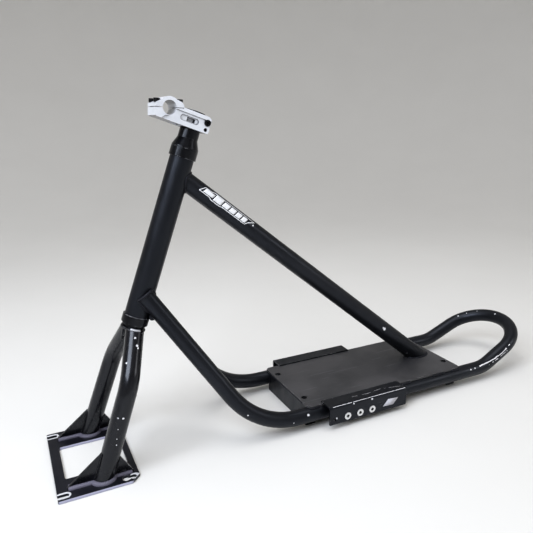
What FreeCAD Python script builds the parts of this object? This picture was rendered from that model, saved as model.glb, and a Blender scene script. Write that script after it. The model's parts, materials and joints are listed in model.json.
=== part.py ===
import FreeCAD, Part
import math
import os
import re

import Sketcher

# Snow scooter frame set: a welded tubular frame with a foot deck, and a fork that steers in a
# threadless headset and carries a board plate and a handlebar stem.
#
# Row frame, in millimetres: +X forward, +Y left, +Z up. The origin is the centre of the four deck
# bolts, on the plane that the rear board bolts against (the undersides of the two cross tubes).

DOC = FreeCAD.newDocument("SnowScooterFrame")
SHEET = DOC.addObject("Spreadsheet::Sheet", "Sizes")

SIZES = {
    # foot deck and the cross tubes under it
    "deck_length": 368.0,
    "deck_width": 184.0,
    "deck_thick": 4.0,
    "deck_corner": 9.0,
    "bolt_pitch_long": 346.0,
    "bolt_pitch_wide": 110.0,
    "bolt_hole_radius": 5.5,
    "cross_tube_tall": 40.0,
    "cross_tube_deep": 20.0,
    "cross_tube_wall": 2.0,
    "cross_tube_half": 80.0,
    # side rails and rear hoop, one tube size throughout
    "rail_radius": 14.3,
    "rail_wall": 2.0,
    "rail_half_track": 86.5,
    "rail_front_x": 284.0,
    "rail_rear_x": -256.0,
    "rail_front_bend": 145.0,
    "rail_rear_bend": 80.0,
    "rail_top_station": 252.9,
    "rail_top_half": 13.9,
    "hoop_rise_angle": 24.4,
    "hoop_length": 147.4,
    "hoop_vertex_half": 77.5,
    # steering axis: where it crosses the deck's top plane, and its rake from upright
    "axis_x": 539.0,
    "axis_rake": 20.3,
    "head_tube_bottom": 213.5,
    "head_tube_top": 485.9,
    "head_tube_radius": 20.0,
    "head_tube_bore": 17.0,
    # top tube: round at the head tube, taller than wide at the deck
    "top_tube_station": 457.4,
    "top_tube_deck_x": -143.8,
    "top_tube_radius": 15.9,
    "top_tube_low_tall": 18.0,
    "top_tube_low_wide": 16.5,
    "top_tube_wall": 2.0,
    # strap plates: angle sections welded over the deck's edges
    "strap_front_x": 154.0,
    "strap_length": 175.0,
    "strap_inner_y": 86.0,
    "strap_outer_y": 118.0,
    "strap_low_z": 11.0,
    "strap_thick": 3.0,
    "strap_bend": 5.0,
    "insert_z": 22.0,
    "insert_first_x": 115.3,
    "insert_pitch": 27.5,
    "insert_flange_radius": 7.0,
    "insert_flange": 1.2,
    "insert_body_radius": 4.5,
    "insert_body": 7.0,
    "insert_hole_radius": 3.0,
    "front_hole_x": 142.8,
    "front_hole_z": 21.0,
    "front_hole_radius": 3.0,
    "rear_hole_x": 41.0,
    "rear_hole_z": 27.0,
    "rear_hole_radius": 1.5,
    # headset
    "cup_radius": 22.5,
    "upper_cup_tall": 15.0,
    "lower_cup_tall": 13.0,
    "cup_sleeve": 12.0,
    "cup_bore": 15.3,
    "cup_cavity": 20.2,
    "cup_floor": 9.1,
    "race_radius": 19.6,
    "race_collar_radius": 16.4,
    "race_collar_tall": 4.5,
    "ball_radius": 1.95,
    "ball_space": 4.0,
    "ball_pitch_radius": 17.4,
    "ball_count": 20,
    "cage_thick": 0.5,
    "cage_lift": 0.9,
    "cage_half": 2.0,
    "cage_slack": 0.06,
    "steerer_radius": 14.3,
    "steerer_bore": 12.7,
    "steerer_bottom": 176.0,
    "steerer_below_top": 3.0,
    "crown_station": 193.0,
    "crown_race_tall": 8.2,
    "cover_radius": 22.3,
    "cover_top_radius": 16.6,
    "cover_cone": 14.0,
    "cover_rim": 2.2,
    "cover_gap": 0.4,
    "cover_slack": 0.3,
    "wedge_tall": 6.0,
    "wedge_radius": 15.6,
    "wedge_split": 1.5,
    "spacer_radius": 16.6,
    # stem, in its own axes: forward of the steerer, left, and up the steerer
    "stem_bottom": 533.2,
    "stem_low": 13.5,
    "stem_high": 13.0,
    "stem_half_width": 24.0,
    "stem_rear": 23.5,
    "stem_reach": 48.0,
    "stem_bar_rise": 5.4,
    "bar_radius": 11.1,
    "split_tilt": 16.0,
    "split_gap": 1.0,
    "front_lip": 6.0,
    "rear_lip": 4.0,
    "rear_lip_top": 8.5,
    "rear_lip_slope": 3.0,
    "cap_seat": 7.0,
    "clamp_thread": 14.0,
    "stem_heel": 8.0,
    "stem_toe": 2.0,
    "stem_slit": 2.0,
    "belly_length": 16.0,
    "belly_width": 26.0,
    "belly_depth": 10.0,
    "belly_middle": 27.0,
    "rear_ramp": 1.3,
    "waist_depth": 2.0,
    "ledge_toe_x": 52.0,
    "ledge_toe_z": -8.3,
    "ledge_foot_x": 45.5,
    "ledge_foot_z": -5.6,
    "ledge_crest_x": 37.5,
    "ledge_crest_z": 7.0,
    "ledge_slope": 4.0,
    "ledge_round": 4.0,
    "side_pocket_x": 12.0,
    "side_pocket_z": -1.5,
    "side_pocket_long": 22.0,
    "side_pocket_tall": 9.4,
    "side_pocket_depth": 2.2,
    "pocket_cut": 12.0,
    "window_x": 9.0,
    "window_long": 14.0,
    "window_tall": 6.4,
    "overcut": 2.0,
    "pinch_shank": 34.0,
    "preload_shank": 26.0,
    "star_nut_depth": 30.0,
    "star_nut_tall": 10.0,
    "star_thick": 1.0,
    "clamp_front": 22.5,
    "clamp_rear": 23.0,
    "clamp_arch": 16.6,
    "shoulder_along": 11.0,
    "shoulder_high": 12.4,
    "clamp_bolt_along": 18.2,
    "clamp_bolt_side": 15.0,
    "pinch_back": 17.6,
    "pinch_high": 3.0,
    "pinch_low": -8.3,
    "bolt_radius": 3.0,
    "bolt_head_radius": 5.0,
    "bolt_head_tall": 6.0,
    "head_slack": 0.3,
    "hex_socket": 2.9,
    "top_cap_radius": 17.0,
    "top_cap_thick": 2.6,
    "top_cap_dish_radius": 8.0,
    "top_cap_dish": 4.6,
    "top_cap_sink": 3.4,
    # fork
    "leg_radius": 15.4,
    "leg_wall": 2.2,
    "leg_top_half": 14.6,
    "leg_top_station": 190.7,
    "leg_knee_half": 66.5,
    "leg_knee_station": 119.3,
    "leg_foot_half": 76.0,
    "leg_bend": 70.0,
    "plate_front_x": 626.0,
    "plate_rear_x": 498.5,
    "plate_half_width": 102.5,
    "plate_thick": 5.0,
    "plate_front_bar": 16.3,
    "plate_rear_bar": 11.0,
    "plate_side_bar": 54.0,
    "window_corner": 4.0,
    "plate_rear_chamfer": 14.0,
    "plate_corner": 3.0,
    "slot_half_track": 90.5,
    "slot_radius": 4.25,
    "front_slot_end_x": 613.0,
    "rear_slot_end_x": 508.5,
    "keyhole_x": 520.3,
    "keyhole_radius": 7.0,
    "gusset_thick": 5.0,
    "gusset_front_x": 610.0,
    "gusset_front_tall": 46.0,
    "gusset_rear_x": 505.5,
    "gusset_rear_tall": 32.0,
    "gusset_toe": 2.0,
    "gusset_land": 1.2,
}

for row, (alias, value) in enumerate(SIZES.items(), start=1):
    SHEET.set("A%d" % row, alias)
    SHEET.set("B%d" % row, str(value))
    SHEET.setAlias("B%d" % row, alias)
DOC.recompute()


def size(alias):
    """The number that the sheet holds under this alias."""
    return float(SHEET.get(alias))


def with_sheet(word):
    """Put the sheet's name in front of a word of a formula that is one of its aliases."""
    return "Sizes." + word.group(0) if word.group(0) in SIZES else word.group(0)


def bind(item, **formulas):
    """Bind an object's properties to formulas of aliases."""
    for name, formula in formulas.items():
        item.setExpression(name, re.sub(r"[a-z][a-z_]+", with_sheet, formula))


V = FreeCAD.Vector
UP = V(0, 0, 1)
NEAR = 0.1  # how close an edge must lie to the place that picks it
SIDES = {"left": 1, "right": -1}
ALONG_Y = FreeCAD.Rotation(V(1, 0, 0), -90)
GAUGE = DOC.addObject("Part::Vertex", "Gauge")
NODES = {}


def number_of(formula):
    """The number that a formula of aliases gives."""
    bind(GAUGE, X=formula)
    GAUGE.recompute()
    return GAUGE.X.Value


DECK_TOP = number_of("cross_tube_tall + deck_thick")
RAIL_Z = number_of("cross_tube_tall - rail_radius")
RAKE = FreeCAD.Rotation(V(0, 1, 0), -size("axis_rake"))
AXIS = FreeCAD.Placement(V(size("axis_x"), 0, DECK_TOP), RAKE)


# ---------------------------------------------------------------- small builders


def keep(node, item):
    """Register a finished sub-part under its node name."""
    item.Label = node
    NODES[node] = item
    return item


def moved(x=0.0, y=0.0, z=0.0, rotation=None):
    return FreeCAD.Placement(V(x, y, z), rotation or FreeCAD.Rotation())


def cylinder(name, radius, height, place):
    item = DOC.addObject("Part::Cylinder", name)
    bind(item, Radius=radius, Height=height)
    item.Placement = place
    return item


def box(name, length, width, height, place):
    """A box centred on its placement in length and width, standing on it."""
    item = DOC.addObject("Part::Box", name)
    bind(item, Length=length, Width=width, Height=height)
    corner = moved(-number_of(length) / 2, -number_of(width) / 2)
    item.Placement = place.multiply(corner)
    return item


def cut(name, base, *tools):
    """Cut the tools from the base, one after another."""
    for number, tool in enumerate(tools):
        item = DOC.addObject("Part::Cut", "%s_cut_%d" % (name, number))
        item.Base = base
        item.Tool = tool
        base = item
    return base


def fuse(name, *pieces):
    item = DOC.addObject("Part::MultiFuse", name)
    item.Shapes = list(pieces)
    return item


def group(name, *pieces):
    """Separate solids that share one node."""
    item = DOC.addObject("Part::Compound", name)
    item.Links = list(pieces)
    return item


def on_axis(station, forward=0.0, side=0.0):
    """A point at a station up the steering axis, moved forward of it or to its left."""
    return AXIS.multVec(V(forward, side, station))


def at_station(station):
    """A placement whose +Z runs up the steering axis from this station."""
    return FreeCAD.Placement(on_axis(station), RAKE)


def ring(name, station, outer, inner, height):
    """A plain ring round the steering axis."""
    place = at_station(station)
    disc = cylinder(name + "_disc", outer, height, place)
    hole = cylinder(name + "_hole", inner, height, place)
    return cut(name, disc, hole)


# ---------------------------------------------------------------- tubes along bent paths


def bent_path(name, points, bends):
    """A wire of straight runs joined by tangent arcs of the given radii."""
    edges = []
    last = points[0]
    for before, corner, after, radius in zip(points, points[1:], points[2:], bends):
        arriving = (before - corner).normalize()
        leaving = (after - corner).normalize()
        half_angle = arriving.getAngle(leaving) / 2
        reach = radius / math.tan(half_angle)
        start = corner + arriving * reach
        end = corner + leaving * reach
        inward = (arriving + leaving).normalize()
        middle = corner + inward * (radius / math.sin(half_angle) - radius)
        edges.append(Part.LineSegment(last, start).toShape())
        edges.append(Part.Arc(start, middle, end).toShape())
        last = end
    edges.append(Part.LineSegment(last, points[-1]).toShape())
    return path_of(name, edges)


def path_of(name, edges):
    wire = DOC.addObject("Part::Feature", name)
    wire.Shape = Part.Wire(edges)
    return wire


def sweep(name, path, radius, start, heading):
    """A solid round bar along a path that leaves this point with this heading."""
    profile = DOC.addObject("Part::Circle", name + "_profile")
    bind(profile, Radius=radius)
    profile.Placement = FreeCAD.Placement(start, FreeCAD.Rotation(UP, heading))
    item = DOC.addObject("Part::Sweep", name)
    item.Sections = [profile]
    item.Spine = (path, ["Edge%d" % (number + 1) for number in range(len(path.Shape.Edges))])
    item.Solid = True
    return item


def tube_along(name, path, radius, wall, start, heading):
    """The tube's outer bar and the hollow tube itself."""
    bar = sweep(name + "_bar", path, radius, start, heading)
    core = sweep(name + "_core", path, "%s - %s" % (radius, wall), start, heading)
    return bar, cut(name + "_tube", bar, core)


# ---------------------------------------------------------------- sketched pieces


def origin_plane(body, role):
    return next(item for item in body.Origin.OriginFeatures if item.Role == role)


def new_sketch(body, name, role):
    sketch = body.newObject("Sketcher::SketchObject", name)
    sketch.AttachmentSupport = [(origin_plane(body, role), "")]
    sketch.MapMode = "FlatFace"
    return sketch


def fix_point(sketch, geometry, point, x, y):
    """Hold a point of the sketch at coordinates given by formulas."""
    for kind, formula in (("DistanceX", x), ("DistanceY", y)):
        rule = Sketcher.Constraint(kind, -1, 1, geometry, point, number_of(formula))
        place = sketch.addConstraint(rule)
        bind(sketch, **{"Constraints[%d]" % place: formula})


def add_polygon(sketch, corners):
    """A closed outline of straight sides whose corners are (x, y) formulas."""
    first = sketch.GeometryCount
    count = len(corners)
    values = [V(number_of(x), number_of(y), 0) for x, y in corners]
    for start, end in zip(values, values[1:] + values[:1]):
        sketch.addGeometry(Part.LineSegment(start, end), False)
    for index in range(count):
        following = first + (index + 1) % count
        sketch.addConstraint(Sketcher.Constraint("Coincident", first + index, 2, following, 1))
    for index, (x, y) in enumerate(corners):
        fix_point(sketch, first + index, 1, x, y)


def add_circle(sketch, x, y, radius):
    centre = V(number_of(x), number_of(y), 0)
    index = sketch.addGeometry(Part.Circle(centre, UP, number_of(radius)), False)
    fix_point(sketch, index, 3, x, y)
    place = sketch.addConstraint(Sketcher.Constraint("Radius", index, number_of(radius)))
    bind(sketch, **{"Constraints[%d]" % place: radius})


def pad(body, sketch, length, symmetric=False):
    item = body.newObject("PartDesign::Pad", sketch.Name + "_pad")
    item.Profile = sketch
    bind(item, Length=length)
    item.SideType = "Symmetric" if symmetric else "One side"
    DOC.recompute()
    return item


def pocket(body, sketch, length):
    """Cut a sketch out of the body to this depth on both sides of its plane."""
    item = body.newObject("PartDesign::Pocket", sketch.Name + "_pocket")
    item.Profile = sketch
    bind(item, Length=length)
    item.SideType = "Symmetric"
    before = body.Shape.Volume
    DOC.recompute()
    if body.Shape.Volume >= before:
        raise RuntimeError(item.Name + " removes nothing")
    return item


def round_edges(body, radius, wanted):
    """Round every edge of the body's tip that the test picks."""
    tip = body.Tip
    names = ["Edge%d" % (number + 1) for number, edge in enumerate(tip.Shape.Edges) if wanted(edge)]
    item = body.newObject("PartDesign::Fillet", tip.Name + "_round")
    item.Base = (tip, names)
    bind(item, Radius=radius)
    DOC.recompute()
    return item


def runs_along(edge, direction):
    """True for a straight edge that is parallel to this direction."""
    if len(edge.Vertexes) != 2 or edge.Curve.TypeId != "Part::GeomLine":
        return False
    return abs(abs(edge.tangentAt(edge.FirstParameter).dot(direction)) - 1) < 1e-6


def rectangle(x_low, x_high, y_low, y_high):
    return [(x_low, y_low), (x_high, y_low), (x_high, y_high), (x_low, y_high)]


# ---------------------------------------------------------------- foot deck and cross tubes


def make_deck():
    body = DOC.addObject("PartDesign::Body", "Deck")
    outline = new_sketch(body, "deck_outline", "XY_Plane")
    add_polygon(outline, rectangle("-deck_length / 2", "deck_length / 2", "-deck_width / 2", "deck_width / 2"))
    pad(body, outline, "deck_thick")
    round_edges(body, "deck_corner", lambda edge: runs_along(edge, UP))
    holes = new_sketch(body, "deck_holes", "XY_Plane")
    for x in ("bolt_pitch_long / 2", "-bolt_pitch_long / 2"):
        for y in ("bolt_pitch_wide / 2", "-bolt_pitch_wide / 2"):
            add_circle(holes, x, y, "bolt_hole_radius")
    pocket(body, holes, "4 * deck_thick")
    body.Placement = moved(z=size("cross_tube_tall"))
    keep("deck_plate", body)


def make_cross_tube(node, x, rail_bars):
    """A rectangular tube between the rails, coped to fit them and drilled for two board bolts."""
    place = moved(x)
    tall = "cross_tube_tall"
    solid = box(node + "_solid", "cross_tube_deep", "2 * cross_tube_half", tall, place)
    inside = box(node + "_inside", "cross_tube_deep - 2 * cross_tube_wall", "2 * cross_tube_half",
                 "cross_tube_tall - 2 * cross_tube_wall", moved(x, z=size("cross_tube_wall")))
    drills = []
    for side, sign in SIDES.items():
        at = moved(x, sign * size("bolt_pitch_wide") / 2)
        drills.append(cylinder("%s_%s_drill" % (node, side), "bolt_hole_radius", tall, at))
    keep(node, cut(node, solid, inside, *drills, *rail_bars))


# ---------------------------------------------------------------- rails, hoop, head tube, top tube


def hoop_taper():
    """Angle at which each rail closes in as it rises to the hoop."""
    return math.atan2(size("rail_half_track") - size("hoop_vertex_half"), size("hoop_length"))


def hoop_radius():
    """Radius of the one arc that is tangent to both rails and ends the frame."""
    taper = hoop_taper()
    return size("hoop_vertex_half") / (math.cos(taper) - math.tan(taper) * (1 - math.sin(taper)))


def hoop_point(reach, side):
    """A point on the hoop's tilted plane, this far up the slope and out to the side."""
    slope = math.radians(size("hoop_rise_angle"))
    return V(size("rail_rear_x") - reach * math.cos(slope), side, RAIL_Z + reach * math.sin(slope))


def hoop_start(sign):
    """Where a rail ends and the hoop's arc begins."""
    reach = size("hoop_length") - hoop_radius() * (1 - math.sin(hoop_taper()))
    return hoop_point(reach, sign * hoop_radius() * math.cos(hoop_taper()))


def make_rail(side, sign, head_bar):
    node = side + "_side_rail"
    track = sign * size("rail_half_track")
    top = on_axis(size("rail_top_station"), side=sign * size("rail_top_half"))
    front = V(size("rail_front_x"), track, RAIL_Z)
    rear = V(size("rail_rear_x"), track, RAIL_Z)
    bends = [size("rail_front_bend"), size("rail_rear_bend")]
    path = bent_path(node + "_path", [top, front, rear, hoop_start(sign)], bends)
    bar, hollow = tube_along(node, path, "rail_radius", "rail_wall", top, front - top)
    keep(node, cut(node, hollow, head_bar))
    return bar


def make_hoop():
    start = hoop_start(1)
    end = hoop_start(-1)
    arc = Part.Arc(start, hoop_point(size("hoop_length"), 0), end)
    path = path_of("hoop_path", [arc.toShape()])
    heading = arc.toShape().tangentAt(arc.FirstParameter)
    keep("rear_hoop", tube_along("rear_hoop", path, "rail_radius", "rail_wall", start, heading)[1])


def make_head_tube():
    station = size("head_tube_bottom")
    height = "head_tube_top - head_tube_bottom"
    bar = cylinder("head_bar", "head_tube_radius", height, at_station(station))
    bore = cylinder("head_bore", "head_tube_bore", height, at_station(station))
    keep("head_tube", cut("head_tube", bar, bore))
    return bar


def make_top_tube(head_bar):
    """A tube that changes from round at the head tube to a tall oval where it meets the deck."""
    top = on_axis(size("top_tube_station"))
    foot = V(size("top_tube_deck_x"), 0, DECK_TOP)
    heading = (foot - top).normalize()
    past_deck = foot + heading * (2 * size("top_tube_low_tall"))
    turn = FreeCAD.Rotation(V(0, 1, 0).cross(heading), V(0, 1, 0), heading, "ZXY")
    lofts = []
    for name, shrink in (("top_bar", "0"), ("top_core", "top_tube_wall")):
        sections = []
        for end, spot, tall, wide in (("upper", top, "top_tube_radius", "top_tube_radius"),
                                      ("lower", past_deck, "top_tube_low_tall", "top_tube_low_wide")):
            oval = DOC.addObject("Part::Ellipse", "%s_%s" % (name, end))
            bind(oval, MajorRadius="%s - %s" % (tall, shrink), MinorRadius="%s - %s" % (wide, shrink))
            oval.Placement = FreeCAD.Placement(spot, turn)
            sections.append(oval)
        loft = DOC.addObject("Part::Loft", name)
        loft.Sections = sections
        loft.Solid = True
        loft.Ruled = True
        lofts.append(loft)
    under_deck = box("under_deck", "deck_length", "deck_width", "cross_tube_tall + deck_thick", moved())
    keep("top_tube", cut("top_tube", *lofts, head_bar, under_deck))


# ---------------------------------------------------------------- strap plates


def insert_stations():
    return [size("insert_first_x") - number * size("insert_pitch") for number in range(3)]


def make_strap_plate(side, sign):
    """An angle welded over the deck's edge: a flat leg above the rail and a drilled leg beside it."""
    node = side + "_strap_plate"
    out = "%d * " % sign
    top = "cross_tube_tall + deck_thick + strap_thick"
    under = "cross_tube_tall + deck_thick"
    inner_face = out + "(strap_outer_y - strap_thick)"
    outer_face = out + "strap_outer_y"
    corners = [(out + "strap_inner_y", top), (out + "strap_inner_y", under), (inner_face, under),
               (inner_face, "strap_low_z"), (outer_face, "strap_low_z"), (outer_face, top)]
    body = DOC.addObject("PartDesign::Body", node + "_body")
    profile = new_sketch(body, node + "_profile", "YZ_Plane")
    add_polygon(profile, corners)
    pad(body, profile, "strap_length")
    outer_edge = V(0, sign * size("strap_outer_y"), number_of(top))
    inner_edge = V(0, number_of(inner_face), DECK_TOP)

    def lies_on(edge, corner):
        centre = edge.CenterOfMass
        return runs_along(edge, V(1, 0, 0)) and abs(centre.y - corner.y) + abs(centre.z - corner.z) < NEAR

    round_edges(body, "strap_bend", lambda edge: lies_on(edge, outer_edge))
    round_edges(body, "strap_bend - strap_thick", lambda edge: lies_on(edge, inner_edge))
    body.Placement = moved(size("strap_front_x") - size("strap_length"))
    spots = [(x, size("insert_z"), "insert_body_radius") for x in insert_stations()]
    for hole in ("front_hole", "rear_hole"):
        spots.append((size(hole + "_x"), size(hole + "_z"), hole + "_radius"))
    drills = []
    for number, (x, z, radius) in enumerate(spots):
        at = moved(x, sign * size("strap_outer_y") - size("strap_bend"), z, ALONG_Y)
        drills.append(cylinder("%s_drill_%d" % (node, number), radius, "2 * strap_bend", at))
    keep(node, cut(node, body, *drills))


def make_strap_inserts(side, sign):
    """Three flanged threaded inserts pressed into a strap plate from outside."""
    node = side + "_strap_inserts"
    outward = FreeCAD.Rotation(UP, V(0, sign, 0))
    inserts = []
    for number, x in enumerate(insert_stations()):
        name = "%s_%d" % (node, number)
        face = sign * size("strap_outer_y")
        root = face - sign * size("insert_body")
        flange = cylinder(name + "_flange", "insert_flange_radius", "insert_flange",
                          moved(x, face, size("insert_z"), outward))
        shank = cylinder(name + "_shank", "insert_body_radius", "insert_body",
                         moved(x, root, size("insert_z"), outward))
        thread = cylinder(name + "_thread", "insert_hole_radius", "insert_body + insert_flange",
                          moved(x, root, size("insert_z"), outward))
        inserts.append(cut(name, fuse(name + "_solid", flange, shank), thread))
    keep(node, group(node, *inserts))


# ---------------------------------------------------------------- headset


def lower_ball_station():
    return number_of("crown_station + crown_race_tall + ball_space / 2")


def upper_ball_station():
    return number_of("head_tube_top + cup_floor + ball_space / 2")


def cover_station():
    return number_of("head_tube_top + upper_cup_tall + cover_gap")


def make_cup(node, flange_station, sleeve_station, cavity_station, cavity):
    """A pressed-in cup: a wide flange with a ball cavity, and a sleeve inside the head tube."""
    tall = node + "_tall"
    flange = cylinder(node + "_flange", "cup_radius", tall, at_station(flange_station))
    sleeve = cylinder(node + "_sleeve", "head_tube_bore", "cup_sleeve", at_station(sleeve_station))
    through = cylinder(node + "_through", "cup_bore", tall + " + cup_sleeve",
                       at_station(min(flange_station, sleeve_station)))
    hollow = cylinder(node + "_hollow", "cup_cavity", cavity, at_station(cavity_station))
    keep(node, cut(node, fuse(node + "_solid", flange, sleeve), through, hollow))


def make_cups():
    bottom = size("head_tube_bottom")
    top = size("head_tube_top")
    mouth = bottom - size("lower_cup_tall")
    depth = "crown_station + crown_race_tall + ball_space - head_tube_bottom + lower_cup_tall"
    make_cup("lower_cup", mouth, bottom, mouth, depth)
    make_cup("upper_cup", top, top - size("cup_sleeve"), top + size("cup_floor"),
             "upper_cup_tall - cup_floor")


def make_ball_set(prefix, station):
    """A ring of loose balls and the flat cage that spaces them."""
    balls = []
    for number in range(int(size("ball_count"))):
        angle = 2 * math.pi * number / size("ball_count")
        forward = size("ball_pitch_radius") * math.cos(angle)
        side = size("ball_pitch_radius") * math.sin(angle)
        ball = DOC.addObject("Part::Sphere", "%s_ball_%d" % (prefix, number))
        bind(ball, Radius="ball_radius")
        ball.Placement = FreeCAD.Placement(on_axis(station, forward, side), RAKE)
        balls.append(ball)
    keep(prefix + "_balls", group(prefix + "_balls", *balls))
    strip = ring(prefix + "_strip", station + size("cage_lift"), "ball_pitch_radius + cage_half",
                 "ball_pitch_radius - cage_half", "cage_thick")
    windows = []
    for number, ball in enumerate(balls):
        window = DOC.addObject("Part::Sphere", "%s_window_%d" % (prefix, number))
        bind(window, Radius="ball_radius + cage_slack")
        window.Placement = ball.Placement
        windows.append(window)
    keep(prefix + "_ball_cage", cut(prefix + "_ball_cage", strip, group(prefix + "_windows", *windows)))


def make_steerer():
    height = "stem_bottom + stem_low + stem_high - steerer_below_top - steerer_bottom"
    keep("steerer_tube", ring("steerer", size("steerer_bottom"), "steerer_radius", "steerer_bore", height))


def make_headset_stack():
    """Crown race, top cover with its split wedge, and the spacer under the stem."""
    collar = cylinder("race_collar", "race_collar_radius", "race_collar_tall",
                      at_station(size("crown_station")))
    flange = cylinder("race_flange", "race_radius", "crown_race_tall - race_collar_tall",
                      at_station(number_of("crown_station + race_collar_tall")))
    hole = cylinder("race_hole", "steerer_radius", "crown_race_tall", at_station(size("crown_station")))
    keep("crown_race", cut("crown_race", fuse("race_solid", collar, flange), hole))
    base = cover_station()
    plug_depth = base - upper_ball_station() - size("ball_space") / 2
    plug = cylinder("cover_plug", "race_radius", str(plug_depth), at_station(base - plug_depth))
    rim = cylinder("cover_lip", "cover_radius", "cover_rim", at_station(base))
    cone = DOC.addObject("Part::Cone", "cover_cone_body")
    bind(cone, Radius1="cover_radius", Radius2="cover_top_radius", Height="cover_cone")
    cone.Placement = at_station(base + size("cover_rim"))
    top = number_of("cover_rim + cover_cone") + base
    bore = cylinder("cover_bore", "steerer_radius + cover_slack", "4 * cover_cone",
                    at_station(base - 2 * size("cover_cone")))
    seat = cylinder("cover_seat", "wedge_radius", "wedge_tall", at_station(top - size("wedge_tall")))
    keep("bearing_cover", cut("bearing_cover", fuse("cover_solid", plug, rim, cone), bore, seat))
    wedge = ring("wedge", top - size("wedge_tall"), "wedge_radius", "steerer_radius", "wedge_tall")
    split = box("wedge_gap", "2 * wedge_radius", "wedge_split", "wedge_tall",
                FreeCAD.Placement(on_axis(top - size("wedge_tall"), -size("wedge_radius")), RAKE))
    keep("compression_ring", cut("compression_ring", wedge, split))
    height = str(size("stem_bottom") - top)
    keep("headset_spacer", ring("spacer", top, "spacer_radius", "steerer_radius + cover_slack", height))


# ---------------------------------------------------------------- stem
# The stem's own axes: X forward of the steerer, Y left, Z up the steerer from its middle. The bar
# clamp is split on a plane that dips forward; a point of that plane is given along it and above it.

STEM_MIDDLE = number_of("stem_bottom + stem_low")
SPLIT = FreeCAD.Rotation(V(0, 1, 0), size("split_tilt"))


def stem_place(forward=0.0, side=0.0, high=0.0, rotation=None):
    local = FreeCAD.Placement(V(forward, side, high), rotation or FreeCAD.Rotation())
    return at_station(STEM_MIDDLE).multiply(local)


def clamp_place(along=0.0, side=0.0, above=0.0):
    """A placement on the split plane, whose +Z is square to it."""
    centre = V(size("stem_reach"), 0, size("stem_bar_rise"))
    offset = SPLIT.multVec(V(along, side, above))
    return at_station(STEM_MIDDLE).multiply(FreeCAD.Placement(centre + offset, SPLIT))


def clamp_corner(along, above):
    """Formulas for a corner given along the split plane and above it."""
    tilt = "(split_tilt * 1deg)"
    forward = "stem_reach + (%s) * cos%s + (%s) * sin%s" % (along, tilt, above, tilt)
    high = "stem_bar_rise - (%s) * sin%s + (%s) * cos%s" % (along, tilt, above, tilt)
    return forward, high


def clamp_bolt_spots():
    return [(along * size("clamp_bolt_along"), side * size("clamp_bolt_side")) for along in (1, -1)
            for side in (1, -1)]


def pinch_spots():
    return [("upper", 1, size("pinch_high")), ("lower", -1, size("pinch_low"))]


def pinch_seat(side, high):
    """Where a pinch bolt's head sits, its +Z pointing out of that side of the stem."""
    level = size("stem_half_width") - size("bolt_head_tall")
    return stem_place(-size("pinch_back"), side * level, high, FreeCAD.Rotation(UP, V(0, side, 0)))


def make_stem_body():
    body = DOC.addObject("PartDesign::Body", "Stem")
    outline = new_sketch(body, "stem_outline", "XZ_Plane")
    tilt = "(split_tilt * 1deg)"
    nose = "(clamp_front * sin%s - stem_bar_rise - stem_low) / cos%s" % (tilt, tilt)
    corners = [("-stem_rear", "-stem_low"), clamp_corner("clamp_front", nose),
               clamp_corner("clamp_front", "-split_gap / 2"), clamp_corner("-clamp_rear", "-split_gap / 2"),
               clamp_corner("-clamp_rear", "rear_ramp"), ("-stem_rear", "stem_high")]
    add_polygon(outline, corners)
    pad(body, outline, "2 * stem_half_width", symmetric=True)

    def at_rear(edge):
        return runs_along(edge, V(0, 1, 0)) and edge.CenterOfMass.x < 0

    def at_nose(edge):
        low = edge.CenterOfMass.z < NEAR - size("stem_low")
        return runs_along(edge, V(0, 1, 0)) and low and edge.CenterOfMass.x > size("stem_reach")

    round_edges(body, "stem_heel", lambda edge: at_rear(edge) and edge.CenterOfMass.z > 0)
    round_edges(body, "stem_toe", lambda edge: at_nose(edge) or (at_rear(edge) and edge.CenterOfMass.z < 0))
    body.Placement = stem_place()
    long_hole = "2 * (stem_half_width + overcut)"
    beyond = -number_of("stem_half_width + overcut")
    tall_hole = "4 * stem_low"
    below = -2 * size("stem_low")
    bar = cylinder("bar_hole", "bar_radius", long_hole,
                   stem_place(size("stem_reach"), beyond, size("stem_bar_rise"), ALONG_Y))
    steerer = cylinder("steerer_hole", "steerer_radius", tall_hole, stem_place(high=below))
    slit = box("stem_gap", "stem_rear", "stem_slit", tall_hole, stem_place(-size("stem_rear"), high=below))
    belly = box("stem_belly", "belly_length", "belly_width", "belly_depth",
                stem_place(size("belly_middle"), high=-size("stem_low")))
    tools = [bar, steerer, slit, belly]
    for name, side, high in pinch_spots():
        tools.append(cylinder(name + "_pinch_hole", "bolt_radius", long_hole,
                              stem_place(-size("pinch_back"), beyond, high, ALONG_Y)))
        tools.append(cylinder(name + "_pinch_seat", "bolt_head_radius + head_slack",
                              "2 * bolt_head_tall", pinch_seat(side, high)))
    for number, (along, side) in enumerate(clamp_bolt_spots()):
        tools.append(cylinder("clamp_thread_%d" % number, "bolt_radius", "clamp_thread",
                              clamp_place(along, side, -size("clamp_thread"))))
    for side in (1, -1):
        tools += side_pockets(side)
    keep("stem_body", cut("stem_body", body, *tools))


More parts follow.
